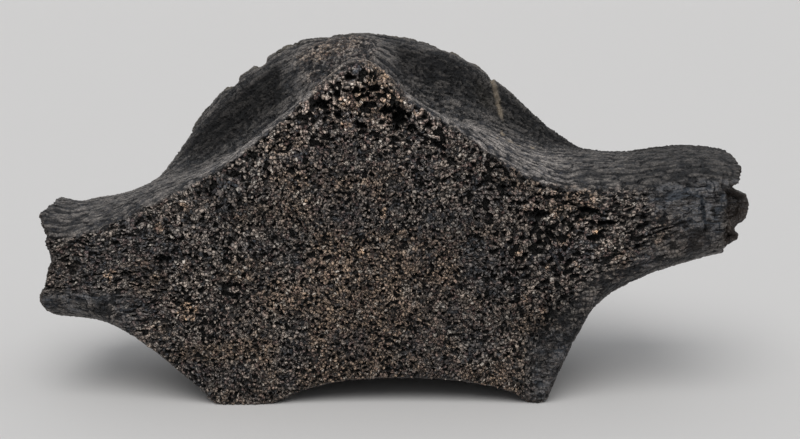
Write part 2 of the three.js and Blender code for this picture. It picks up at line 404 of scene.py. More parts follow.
def cells(P, seed, jitter=0.9):
    """distance to the nearest and next seed point, and the nearest one's number"""
    b = np.floor(P - 0.5).astype(np.int64)
    f1 = np.full(len(P), 9.0, np.float32)
    f2 = np.full(len(P), 9.0, np.float32)
    who = np.zeros(len(P), np.float32)
    for i in (0, 1):
        for j in (0, 1):
            for k in (0, 1):
                ci, cj, ck = b[:, 0] + i, b[:, 1] + j, b[:, 2] + k
                h = hashed(ci, cj, ck, seed)
                u1 = (h & np.uint32(1023)).astype(np.float32) / 1023 - 0.5
                u2 = ((h >> np.uint32(10)) & np.uint32(1023)).astype(np.float32) / 1023 - 0.5
                u3 = ((h >> np.uint32(20)) & np.uint32(1023)).astype(np.float32) / 1023 - 0.5
                d = (P[:, 0] - ci - 0.5 - jitter * u1) ** 2 + (P[:, 1] - cj - 0.5 - jitter * u2) ** 2 \
                    + (P[:, 2] - ck - 0.5 - jitter * u3) ** 2
                near = d < f1
                f2 = np.where(near, f1, np.minimum(f2, d))
                who = np.where(near, unit(h * np.uint32(0x9E3779B1) >> np.uint32(5)), who)
                f1 = np.where(near, d, f1)
    return np.sqrt(f1), np.sqrt(f2), who


# ------------------------------------------------------------------ fine bone

CELL = (1.62, 2.2, 1.62)
FINE, FINEST = ((5, 8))
V, Q = facet(bone, (-121.0, -5.0, -3.0), (125.0, 77.0, 119.0), CELL)
V, VN0 = settle(V, 2)
dense = (VN0[Q][:, :, 1].mean(1) < -0.55) & (V[Q][:, :, 1].mean(1) < 4.0)
V, q, owner, extra, extra_owner = subdivide(V, Q, FINE, FINEST, dense)
V, N = settle(V, 2)

x, y, z = V.T
nx, ny, nz = N.T
along = y / LENGTH
keel_x = KEEL["x"] - KEEL["drift"] * along

wob = np.stack([noise(V / 7.0, 3), noise(V / 7.0 + 31, 4), noise(V / 7.0 + 57, 5)], 1)
jit = np.stack([noise(V / 1.1, 6), noise(V / 1.1 + 31, 7), noise(V / 1.1 + 57, 2)], 1)
W = V + 1.0 * wob + 0.22 * jit
rag = noise(V / 3.1, 8) * 0.5 + noise(V / 1.3, 9) * 0.35
low = cloud(V / 13.0, 61, 3)

# where the bone is worn open to its spongy inside
front = step(0.46, 0.80, -ny + 0.30 * rag) * step(5.5, 2.5, y + 1.2 * rag)
keel_worn = step(15.0, 7.0, np.abs(x - keel_x) + 5 * rag) * step(92.0, 100.0, z) * step(64.0, 50.0, y)
apex = step(17.0, 8.0, np.abs(x - KEEL["x"]) + 6 * rag) * step(92.0, 98.0, z) * step(12.0, 7.0, y) * (1 - front)
ends = step(0.35, 0.75, np.abs(nx)) * np.maximum(step(98.0, 102.0, -x), step(103.0, 107.0, x))
feet = step(0.3, 0.75, -nz) * step(4.0, 1.5, z) * step(60.0, 55.0, y)
# outer bone that is left on the fronts of the processes
skin_r = step(-6.0, 6.0, (x - 74.5) * 0.54 + (z - 70.0) * 0.84 + 9.0 * low + 4.0 * rag)
skin_l = step(38.8, 35.6, z + 1.5 * rag) * step(-72.0, -92.0, x) + step(55.5, 58.0, z + 1.5 * rag) * step(-84.0, -92.0, x)
skin_f = 0.45 * step(42.0, 52.0, x + 8 * low) * step(34.0, 22.0, z)
skin_g = 0.85 * step(0.0, 9.0, (x - 52.0) * 0.64 - (z - 34.0) * 0.77 + 7.0 * low + 3.0 * rag) * step(40.0, 50.0, x)
skin_e = 0.80 * step(78.0, 91.0, x + 7.0 * low + 3.0 * rag)
skin = np.clip(np.maximum.reduce([skin_r, skin_l, skin_f, skin_g, skin_e]), 0, 1)
spongy = np.clip(np.maximum.reduce([front * (1 - 0.86 * skin), 0.55 * keel_worn, apex, 0.35 * ends, feet]), 0, 1)
rim = step(60.5, 65.5, y) * step(0.98, 0.6, np.abs(ny))
rim_uv = rim_uw(x, z)
ring = oval(rim_uv[0], rim_uv[1], RIM["a"], RIM["b"], RIM["power"])

# how much the grain is drawn out along the processes
pull = step(48.0, 78.0, np.abs(x + 3.0))
AXIS = np.linspace(-130.0, 130.0, 1301)


def drawn(length, width, shift=0.0):
    """grain coordinates, stretched along the processes and following their slope"""
    each = 1.0 / mix(width, length, step(48.0, 78.0, np.abs(AXIS + 3.0)))
    run = np.concatenate([[0.0], np.cumsum(0.5 * (each[1:] + each[:-1]) * np.diff(AXIS))])
    rise = 0.19 * np.log1p(np.exp((W[:, 0] - 48.0) / 6.0)) * 6.0 - 0.07 * np.log1p(np.exp((-W[:, 0] - 48.0) / 6.0)) * 6.0
    return np.stack([np.interp(W[:, 0], AXIS, run), W[:, 1] / width, (W[:, 2] - rise) / width], 1) + shift


up = step(58.0, 104.0, z + 6.0 * low)                       # coarser towards the keel
side = step(26.0, 46.0, np.abs(x + 6.0) + 5.0 * low)
loose = np.clip(0.9 * up + 0.8 * side * step(20.0, 40.0, z) * (1 - 0.4 * step(0.0, -25.0, x)), 0, 1)
clump = cloud(V / 3.6, 40, 2)

# grains: rounded tops, cracks between, some missing
A1, A2, Aw = cells(W / 0.95, 21)
B1, B2, Bw = cells(W / 1.50 + 11.0, 22)
C1, C2, Cw = cells(drawn(1.9, 0.74, 5.0), 23)
use_b = loose + 0.5 * clump > 0.50
use_c = pull + 0.3 * clump > 0.5
g1, g2, gw = (np.where(use_c, c, np.where(use_b, b, a)) for a, b, c in ((A1, B1, C1), (A2, B2, C2), (Aw, Bw, Cw)))
gs = np.where(use_c, 0.85, np.where(use_b, 1.2, 0.85))
meet = step(-0.55, 0.05, noise(V / 0.75, 27))                   # where neighbours stay apart
crack = (1 - step(0.0, 0.26, g2 - g1)) * meet
dome = 1 - np.clip(g1 / 0.66, 0, 1) ** 2
share = 0.11 + 0.06 * loose + 0.26 * clump * (0.30 + 0.70 * loose)  # share of the grains that are missing
gone = step(0.03, -0.03, gw - share)
num = np.clip((gw - share) / (1 - share), 0, 1)                     # 0 to 1 over the grains that are left
# curling walls between
curl = np.abs(noise(drawn(1.5, 0.72, 3.0), 26))
wall = step(0.0, 0.30, curl)

# larger voids, most of them at the root of the right process
root_r = bump(x, 58.0, 22.0) * bump(z, 60.0, 15.0)
D1, D2, Dw = cells(drawn(6.0, 2.9, 7.0), 24)
big = (1 - step(0.16, 0.40, D1 + 0.12 * jit[:, 0])) * step(0.60, 0.75, Dw + 0.25 * (loose - 0.6) + 0.22 * root_r) * np.maximum(loose, root_r)

# a few named holes near the keel: [x, z, half width, half height, depth]
HOLES = (
    (4.7, 93.6, 2.2, 3.2, 4.5), (0.6, 95.4, 1.5, 1.5, 3.2), (-3.1, 102.4, 1.4, 1.2, 2.6),
    (-7.8, 101.7, 1.3, 1.3, 2.8), (-10.9, 106.2, 1.3, 1.2, 2.4), (-7.8, 90.6, 1.3, 1.1, 2.4),
    (-18.7, 97.3, 1.6, 1.2, 2.6), (-14.0, 94.0, 1.0, 1.6, 1.6), (17.0, 84.0, 1.8, 1.1, 1.8),
    (-4.5, 97.0, 1.2, 1.0, 1.6), (8.5, 90.0, 1.2, 1.5, 2.2), (55.0, 71.0, 2.2, 1.1, 2.2),
    (48.5, 63.0, 2.0, 1.3, 2.2), (51.5, 56.0, 1.6, 1.4, 2.0), (63.0, 63.5, 3.0, 1.1, 2.4),
    (70.0, 60.0, 2.6, 0.9, 2.0), (66.0, 55.0, 2.2, 1.0, 1.8), (-70.0, 48.0, 2.6, 1.0, 1.6),
)
holes = np.zeros(len(V))
hole_depth = np.zeros(len(V))
ragged = 0.55 * noise(V / 0.95, 71) + 0.3 * noise(V / 0.45, 72)
for hx, hz, ha, hb, hd in HOLES:
    r = np.sqrt(((x - hx + 0.9 * wob[:, 1]) / ha) ** 2 + ((z - hz + 0.9 * wob[:, 2]) / hb) ** 2) + ragged
    m = (1 - step(0.7, 1.3, r)) * front
    holes = np.maximum(holes, m)
    hole_depth = np.maximum(hole_depth, m * hd)

fine = noise(V / 0.46, 51)
h_sp = (0.26 * dome - 0.42 * crack + 0.50 * (num - 0.5)) * gs - 1.0 * gs * gone * (0.6 + 0.4 * dome) \
    + 0.42 * (wall - 0.6) - 1.8 * big - hole_depth + 0.26 * fine + 0.35 * low + 0.35 * clump * (0.3 + 0.7 * loose) + 0.10

# outer bone: fibres round the bone, long pits, fine grit in the valleys
def fibre(a, b, shift=0.0):
    """coordinates for grain that runs round the bone, a long and b wide"""
    return np.stack([W[:, 0] / a, W[:, 1] / b, W[:, 2] / a], 1) + shift


streak = 0.16 * noise(fibre(9.0, 3.0), 81) + 0.34 * noise(fibre(4.6, 1.2), 82) + 0.52 * noise(fibre(2.4, 0.62, 6.0), 80)
F1, F2, Fw = cells(fibre(4.6, 1.7), 83)
# the grooves between the fibres get painted shade through the cavity mask
thin = 1 - step(0.02, 0.20, np.abs(noise(fibre(7.0, 1.7, 4.0), 85)))  # fine dark grooves between the fibres
pit = (1 - step(0.10, 0.40, F1)) * step(0.25, 0.75, Fw)
valley = step(24.0, 47.0, y) * step(62.0, 50.0, y) * step(66.0, 76.0, z) * step(15.0, 22.0, np.abs(x - keel_x))
H1, H2, Hw = cells(np.stack([W[:, 0] / 0.95, W[:, 1] / 1.5, W[:, 2] / 0.95], 1), 86)
grit = (0.5 - g1 * 0 - np.clip(H1, 0, 0.9)) * 0.55 - 0.5 * step(0.35, 0.2, Hw)
gritty = np.clip(0.25 + 0.75 * valley + 0.5 * keel_worn, 0, 1)
h_co = 0.34 * streak - 0.50 * pit - 0.42 * thin * (1 - 0.6 * gritty) + 0.25 * low + 0.08 * fine \
    + gritty * (0.85 * grit + 0.22 * fine)
# the end plate has no fibres: fine pits and faint rings
plate = step(0.6, 0.9, ny)
G1, G2, Gw = cells(V / 1.5, 84)
h_pl = -0.45 * (1 - step(0.15, 0.45, G1)) * step(0.3, 0.9, Gw) + 0.12 * np.sin(ring * 60 + 2 * low) + 0.35 * low
h_co = mix(h_co, h_pl, plate)
# the smooth fronts of the processes: glossy fibres along them
f_long = 0.5 * noise(drawn(7.0, 1.0, 2.0), 87) + 0.5 * noise(drawn(3.4, 0.55, 9.0), 88)
on_skin = front * skin
scale = 1 - step(0.02, 0.22, np.abs(noise(drawn(2.6, 1.15, 6.0), 89)))   # glossy skin cracked into scales
h_co = mix(h_co, 0.60 * f_long - 0.45 * scale - 0.45 * pit - 0.35 * step(0.2, 0.7, clump) + 0.3 * low + 0.12 * fine, on_skin)

# the broken ends: set back between the plates of outer bone
set_l = 0.9 * step(92.0, 106.0, -x) * step(39.0, 47.0, z) * step(60.0, 53.0, z)
set_r = 3.0 * step(106.0, 108.6, x + 1.2 * rag + 0.06 * (z - 60.0)) * step(71.5, 69.5, z)
back = np.maximum(set_l, set_r) * step(0.55, 0.85, -ny)
crack_1 = bump(x + 1.1 * rag, 99.0 + (67.0 - z) * 0.10, 0.55 + 0.3 * noise(V / 1.5, 93)) * step(55.5, 58.0, z) * step(70.0, 67.5, z) * front
step_1 = 0.5 * step(99.3, 99.9, x - (67.0 - z) * 0.15) * step(56.0, 58.0, z) * step(71.0, 67.0, z) * front
crack_2 = bump(z + 0.25 * rag, 56.6 + (x - 84.3) * 0.36, 0.34) * step(82.5, 85.0, x) * step(97.0, 94.0, x) * front
rough = ends * 0.75 * cloud(V / 2.8, 91, 3) - back - 1.3 * crack_1 - step_1 - 0.9 * crack_2

# chips and wear along the rim: [x, z, reach, depth]
CHIPS = ((-43.7, 102.2, 2.4, 2.0), (-52.7, 94.4, 3.0, 1.8), (38.6, 95.7, 2.6, 1.2), (-70.0, 76.0, 3.0, 1.6),
         (47.0, 86.0, 2.4, 0.9), (20.0, 107.0, 2.4, 0.8))
chip = np.zeros(len(V))
for cx, cz, reach, d in CHIPS:
    r = np.sqrt((x - cx) ** 2 + (z - cz) ** 2) / reach + 0.3 * noise(V / 1.4, 95)
    chip = np.maximum(chip, d * (1 - step(0.4, 1.3, r)) * step(59.0, 64.0, y))
worn_rim = rim * (0.7 * cloud(V / 4.0, 96, 3) - 0.1 + 1.3 * bump(x, -33.0, 8.0) * (z > 90))
# a pale scar on the inside of the rim, with a step beside it
scar_d = x - (37.3 + (95.0 - z) * 0.21) + 0.25 * rag
scar_w = step(40.0, 45.0, y) * step(79.0, 82.0, z) * step(99.0, 97.0, z) * (1 - plate)
scar = bump(scar_d, 0.0, 0.50) * scar_w * (0.55 + 0.45 * rag)
chip = chip + 1.0 * step(0.2, -0.2, scar_d) * step(-9.0, -4.0, scar_d) * scar_w

h = mix(h_co, h_sp, spongy) + rough - chip + worn_rim
D = V + N * h[:, None]

# the feet stay on the floor and everything stays inside the solids' box
lo = np.array(cad_box[0]) / MM - SHIFT + 0.04
hi = np.array(cad_box[1]) / MM - SHIFT - 0.04
lo[2] = 0.0
D = np.clip(D, lo, hi)

# ------------------------------------------------------------- masks for looks

# cavity mask of cracks, missing grains, voids, holes, pits and grooves: the material paints it near black as painted
# shade in these hollows
cav_sp = np.clip(np.maximum.reduce([0.85 * crack, gone, big, holes, 0.5 * (1 - wall)]), 0, 1)
cav_co = np.clip(0.10 + (1 - plate) * (0.9 * pit + 0.75 * thin * (1 - 0.6 * gritty) - 0.45 * streak)
                 + plate * (1 - step(0.15, 0.45, G1)) * step(0.3, 0.9, Gw) + gritty * (0.20 - 1.0 * grit) * (1 - 0.7 * plate)
                 + on_skin * (0.95 * scale - 0.45 * f_long - 0.10), 0, 1)
cav = mix(cav_co, cav_sp, spongy)
cav = np.maximum.reduce([cav, crack_1, 0.9 * crack_2])
# tan stains: [x, z, reach, strength]
STAINS = ((-20.6, 107.6, 2.4, 1.0), (-0.3, 106.0, 2.4, 1.0), (3.5, 99.3, 1.8, 0.7), (10.3, 95.4, 2.6, 0.9),
          (-10.9, 90.9, 2.4, 1.0), (-13.1, 97.3, 1.6, 0.9), (-17.4, 95.1, 1.6, 0.8), (-25.2, 66.0, 1.8, 0.9),
          (43.4, 65.3, 2.2, 1.0), (53.4, 63.7, 2.2, 0.9), (60.8, 61.5, 1.7, 1.0), (66.1, 57.3, 1.9, 1.0),
          (55.9, 54.4, 2.4, 0.8), (42.1, 49.3, 2.4, 0.8), (50.9, 46.1, 1.6, 0.8), (60.2, 46.4, 1.7, 1.0),
          (44.3, 35.2, 2.2, 0.8), (49.6, 31.7, 1.3, 1.0), (-87.0, 42.9, 2.2, 1.0), (-62.7, 32.0, 3.4, 1.0),
          (-70.2, 58.6, 1.8, 0.8), (-62.0, 65.3, 2.0, 0.7), (-63.9, 46.1, 2.6, 0.8), (-7.8, 50.3, 1.8, 1.0),
          (-0.3, 62.8, 1.8, 0.8), (-15.5, 44.2, 4.0, 0.6), (2.2, 36.5, 4.4, 0.6))
stain = np.zeros(len(V))
for sx, sz, reach, k in STAINS:
    r = np.sqrt((x - sx) ** 2 + (z - sz) ** 2) / reach + 0.55 * noise(V / 1.6, 97) + 0.3 * noise(V / 0.7, 98)
    stain = np.maximum(stain, k * (1 - step(0.35, 1.15, r)))
stain *= np.maximum(front, keel_worn)
tan_big = cloud((V + 2.0 * wob) / np.array([15.0, 12.0, 9.0]), 101, 3)
warm = step(-0.25, 0.45, tan_big + 0.45 * bump(z, 36, 16) * bump(x, -6, 30) - 0.5 * step(0.3, 0.9, np.abs(x) / 110))
warm = np.maximum(warm * 0.6, stain)
cool = step(0.05, 0.5, cloud(V / 10.0, 111, 2) + 0.35 * on_skin + 0.3 * step(85.0, 100.0, -x))
abraded = np.clip(rim * (0.35 + 0.65 * step(-0.1, 0.4, cloud(V / 6.0, 112, 2))) + chip * 0.4
                  + bump(x, 41.0, 9.0) * bump(z, 91.0, 10.0) * step(52.0, 60.0, y) * (1 - plate), 0, 1)
# lighter lips, partly paler bone and partly painted sheen on their upward faces; painted light on the upward faces of
# the left process; painted shade in the valleys; the upward faces of the right process and the spongy face by the right
# foot darker
lip = step(5.0, 16.0, np.abs(x - KEEL["x"])) * step(46.0, 18.0, y) * step(0.2, 0.6, nz) * step(44.0, 60.0, z) * step(66.0, 50.0, np.abs(x)) * (1 - spongy)
lit_top_left = step(-56.0, -70.0, x) * step(0.3, 0.8, nz)
tone = 1.0 + 1.10 * lip + 0.18 * lit_top_left + 0.7 * np.maximum(keel_worn, apex) - 0.84 * valley * (1 - 0.22 * step(-20.0, 20.0, x)) \
    - 0.42 * step(0.3, 0.8, nz) * step(72.0, 86.0, x)
tone = mix(tone, 1.0 + (0.60 * up + 0.45 * step(86.0, 98.0, z)) * front + 0.20 * root_r + 0.95 * stain - 0.68 * step(38.0, 52.0, x) * step(42.0, 26.0, z) + 0.25 * low, spongy)
SPECKS = ((38.5, 34.0, 0.9), (41.0, 28.0, 1.2), (43.5, 27.0, 0.9), (48.5, 31.0, 0.8), (36.0, 22.0, 0.7))
speck_at = np.zeros(len(V))
for sx, sy, reach in SPECKS:
    r = np.sqrt((x - sx) ** 2 + ((y - sy) / 2.2) ** 2) / reach + 0.5 * noise(V / 0.9, 99)
    speck_at = np.maximum(speck_at, (1 - step(0.4, 1.0, r)) * (nz > 0.2) * 0.8)
brown = bump(x, 98.0, 9.0) * bump(z, 53.0, 4.5) * front
chance_co = mix(0.5 + 0.5 * streak, 0.50 + 0.14 * noise(V / 1.1, 78) + 0.10 * noise(V / 3.0, 79), plate)
attrs = dict(
    spongy=spongy, cavity=cav, chance=np.where(spongy > 0.3, num, chance_co), warm=warm, cool=cool,
    rim=abraded, deep=np.clip(big + holes, 0, 1), pale=np.clip(np.maximum(scar, speck_at), 0, 1), tone=tone,
    sheen=np.clip(on_skin, 0, 1), broken=np.clip(ends + set_r / 3.0 * (x > 100) + 0.30 * set_l * (x < -90) + 0.7 * brown, 0, 1),
)
names = list(attrs)
ATT = np.stack([attrs[k] for k in names], 1).astype(np.float32)

# triangles, by the shorter diagonal
P = D[q]
short = ((P[:, 0] - P[:, 2]) ** 2).sum(1) <= ((P[:, 1] - P[:, 3]) ** 2).sum(1)
T = np.concatenate([
    np.where(short[:, None], q[:, [0, 1, 2]], q[:, [1, 2, 3]]),
    np.where(short[:, None], q[:, [0, 2, 3]], q[:, [1, 3, 0]]), extra])
towner = np.concatenate([owner, owner, extra_owner])

# shading normals of the finished surface
fn = np.cross(D[T[:, 1]] - D[T[:, 0]], D[T[:, 2]] - D[T[:, 0]])
VN = np.stack([np.bincount(T.ravel(), np.repeat(fn[:, d], 3), len(D)) for d in range(3)], 1)
VN /= np.maximum(np.linalg.norm(VN, axis=1), 1e-12)[:, None]

# charts for the unwrapped map: coarse faces by the way they look, in connected groups
cq = V[Q].mean(1)
_, cn = settle(cq.copy(), 1)
score = np.stack([cn[:, 0], -cn[:, 0], cn[:, 1], -cn[:, 1], cn[:, 2], -cn[:, 2]], 1)
score[:, 3] += 0.12
facing = score.argmax(1)
ek = np.concatenate([Q[:, [0, 1]], Q[:, [1, 2]], Q[:, [2, 3]], Q[:, [3, 0]]])
ek = np.sort(ek, 1)
ek = ek[:, 0] * (Q.max() + 1) + ek[:, 1]
order = np.argsort(ek, kind="stable")
fo = np.tile(np.arange(len(Q)), 4)[order]
same = ek[order][1:] == ek[order][:-1]
pa_, pb_ = fo[:-1][same], fo[1:][same]


def groups(n, a, b):
    """connected groups of n things linked in pairs"""
    label = np.arange(n)
    while True:
        m = np.minimum(label[a], label[b])
        new = label.copy()
        np.minimum.at(new, a, m)
        np.minimum.at(new, b, m)
        new = new[new]
        if (new == label).all():
            return np.unique(label, return_inverse=True)[1].reshape(-1)
        label = new


def charts(facing, a, b, least=12):
    """connected groups that face one way; crumbs join a neighbour"""
    for _ in range(6):
        keep = facing[a] == facing[b]
        g = groups(len(facing), a[keep], b[keep])
        size = np.bincount(g)
        small = size[g] < least
        if not small.any():
            break
        new = facing.copy()
        for s, t in ((a, b), (b, a)):
            m = small[s] & ~small[t]
            new[s[m]] = facing[t[m]]
        if (new == facing).all():
            break
        facing = new
    keep = facing[a] == facing[b]
    return facing, groups(len(facing), a[keep], b[keep])


facing, group = charts(facing, pa_, pb_)

# ------------------------------------------------------- parting into its pieces


def part_at(data, d, c):
    """splits a closed triangle mesh at the plane where coordinate d is c"""
    P, N, A, T, own = data
    P = P.copy()
    s = P[:, d] - c
    flat = np.abs(s) < 1e-3
    s[flat] = 1e-3
    P[flat, d] = c + 1e-3
    side = s > 0
    cnt = side[T].sum(1)
    cross = (cnt > 0) & (cnt < 3)
    X = T[cross]
    xo = own[cross]
    sx = side[X]
    lone_is = sx.sum(1) == 1                     # one corner above, two below
    lone = np.where(lone_is, sx.argmax(1), (~sx).argmax(1))
    r = np.arange(len(X))
    a, b, e = X[r, lone], X[r, (lone + 1) % 3], X[r, (lone + 2) % 3]
    n = len(P)

    def key(i, j):
        return np.minimum(i, j) * n + np.maximum(i, j)

    ks = np.concatenate([key(a, b), key(a, e)])
    uk, inv = np.unique(ks, return_inverse=True)
    inv = inv.reshape(-1)
    i, j = uk // n, uk % n
    t = (s[i] / (s[i] - s[j]))[:, None]
    newP = P[i] + (P[j] - P[i]) * t
    newP[:, d] = c
    newN = N[i] + (N[j] - N[i]) * t
    newN /= np.maximum(np.linalg.norm(newN, axis=1), 1e-9)[:, None]
    newA = (A[i] + (A[j] - A[i]) * t).astype(np.float32)
    ab, ae = n + inv[:len(a)], n + inv[len(a):]
    P2, N2, A2 = np.concatenate([P, newP]), np.concatenate([N, newN]), np.concatenate([A, newA])
    tip = np.stack([a, ab, ae], 1)
    base1 = np.stack([ab, b, e], 1)
    base2 = np.stack([ab, e, ae], 1)
    out = []
    for above in (True, False):
        whole = T[(cnt == 3) if above else (cnt == 0)]
        wo = own[(cnt == 3) if above else (cnt == 0)]
        m = lone_is == above
        tris = np.concatenate([whole, tip[m], base1[~m], base2[~m]])
        ow = np.concatenate([wo, xo[m], xo[~m], xo[~m]])
        # the cut edge runs ab -> ae in the tip's winding; the cap takes it reversed
        seg = np.concatenate([np.stack([ae[m], ab[m]], 1), np.stack([ab[~m], ae[~m]], 1)])
        caps = cap(P2, seg, d)
        tris = np.concatenate([tris, caps])
        ow = np.concatenate([ow, np.full(len(caps), -1)])
        used, inv2 = np.unique(tris.ravel(), return_inverse=True)
        out.append((P2[used], N2[used], A2[used], inv2.reshape(-1, 3), ow))
    return out


def cap(P, seg, d):
    """flat faces over the loops that directed edges seg make"""
    nxt = dict(zip(seg[:, 0].tolist(), seg[:, 1].tolist()))
    todo = set(nxt)
    loops = []
    while todo:
        s = next(iter(sorted(todo)[:1]))
        loop, v = [], s
        while v in todo:
            todo.discard(v)
            loop.append(v)
            v = nxt[v]
        if len(loop) > 2:
            loops.append(loop)
    tris = []
    ax = [i for i in range(3) if i != d]
    for loop in loops:
        pts = [Vector((float(P[v][ax[0]]), float(P[v][ax[1]]), 0.0)) for v in loop]
        for a, b, c in tessellate_polygon([pts]):
            tris.append((loop[a], loop[b], loop[c]))
    tris = np.array(tris, np.int64).reshape(-1, 3)
    # wind every cap face the way the loops ask for
    want = set(map(tuple, seg.tolist()))
    vote = 0
    for a, b, c in tris[:4000].tolist():
        for e in ((a, b), (b, c), (c, a)):
            vote += (e in want) - ((e[1], e[0]) in want)
    n = np.cross(P[tris[:, 1]] - P[tris[:, 0]], P[tris[:, 2]] - P[tris[:, 0]])[:, d]
    sign = np.sign(np.median(np.sign(n[n != 0]))) if len(n) else 1
    tris = np.where(((n * sign) < 0)[:, None], tris[:, ::-1], tris)
    return tris if vote >= 0 else tris[:, ::-1]


whole = (D + SHIFT, VN, ATT, T, towner)
plate_piece, body = part_at(whole, 1, 62.0 + SHIFT[1])
right_piece, body = part_at(body, 0, 60.0 + SHIFT[0])
body, left_piece = part_at(body, 0, -58.0 + SHIFT[0])

# ------------------------------------------------------------------- materials


def clear(mat):
    mat.use_nodes = True
    mat.node_tree.nodes.clear()
    return mat.node_tree.nodes, mat.node_tree.links


class Nodes:
    def __init__(self, mat):
        self.n, self.l = clear(mat)

    def add(self, kind, **inputs):
        node = self.n.new(kind)
        for k, v in inputs.items():
            if k.startswith("_"):
                setattr(node, k[1:], v)
        return node

    def put(self, socket, value):
        if isinstance(value, bpy.types.NodeSocket):
            self.l.new(value, socket)
        elif value is not None:
            socket.default_value = value

    def attr(self, name):
        node = self.add("ShaderNodeAttribute", _attribute_type="GEOMETRY", _attribute_name=name)
        return node.outputs["Fac"]

    def math(self, op, a, b=None, c=None, clamp=False):
        node = self.add("ShaderNodeMath", _operation=op, _use_clamp=clamp)
        for s, v in zip(node.inputs, (a, b, c)):
            self.put(s, v)
        return node.outputs[0]

    def ramp(self, v, lo, hi, a=0.0, b=1.0):
        node = self.add("ShaderNodeMapRange", _interpolation_type="SMOOTHSTEP")
        for s, val in zip(("Value", "From Min", "From Max", "To Min", "To Max"), (v, lo, hi, a, b)):
            self.put(node.inputs[s], val)
        return node.outputs[0]

    def mix(self, fac, a, b, blend="MIX"):
        node = self.add("ShaderNodeMix", _data_type="RGBA", _blend_type=blend)
        self.put(node.inputs["Factor"], fac)
        self.put(node.inputs[6], a)
        self.put(node.inputs[7], b)
        return node.outputs[2]

    def noise(self, vec, scale, detail=4.0, rough=0.55):
        node = self.add("ShaderNodeTexNoise")
        self.put(node.inputs["Vector"], vec)
        node.inputs["Scale"].default_value = scale
        node.inputs["Detail"].default_value = detail
        node.inputs["Roughness"].default_value = rough
        return node.outputs["Fac"]

    def voronoi(self, vec, scale, out="Distance", feature="F1"):
        node = self.add("ShaderNodeTexVoronoi", _feature=feature)
        self.put(node.inputs["Vector"], vec)
        node.inputs["Scale"].default_value = scale
        return node.outputs[out]

    def warp(self, vec, scale, amount):
        """the vector pushed about by a noise"""
        node = self.add("ShaderNodeTexNoise")
        self.put(node.inputs["Vector"], vec)
        node.inputs["Scale"].default_value = scale
        node.inputs["Detail"].default_value = 1.0
        mid = self.add("ShaderNodeVectorMath", _operation="SUBTRACT")
        self.l.new(node.outputs["Color"], mid.inputs[0])
        mid.inputs[1].default_value = (0.5, 0.5, 0.5)
        far = self.add("ShaderNodeVectorMath", _operation="SCALE")
        self.l.new(mid.outputs[0], far.inputs[0])
        far.inputs["Scale"].default_value = amount
        both = self.add("ShaderNodeVectorMath", _operation="ADD")
        self.put(both.inputs[0], vec)
        self.l.new(far.outputs[0], both.inputs[1])
        return both.outputs[0]

    def scaled(self, colour, by):
        node = self.add("ShaderNodeVectorMath", _operation="SCALE")
        self.put(node.inputs[0], colour)
        self.put(node.inputs["Scale"], by)
        return node.outputs[0]

    def gray(self, colour):
        node = self.add("ShaderNodeSeparateColor")
        self.put(node.inputs[0], colour)
        return node.outputs[0]

    def stretch(self, vec, scale, rot=(0, 0, 0)):
        node = self.add("ShaderNodeMapping")
        self.put(node.inputs["Vector"], vec)
        node.inputs["Scale"].default_value = scale
        node.inputs["Rotation"].default_value = rot
        return node.outputs[0]


def rgb(r, g, b):
    return (r, g, b, 1.0)


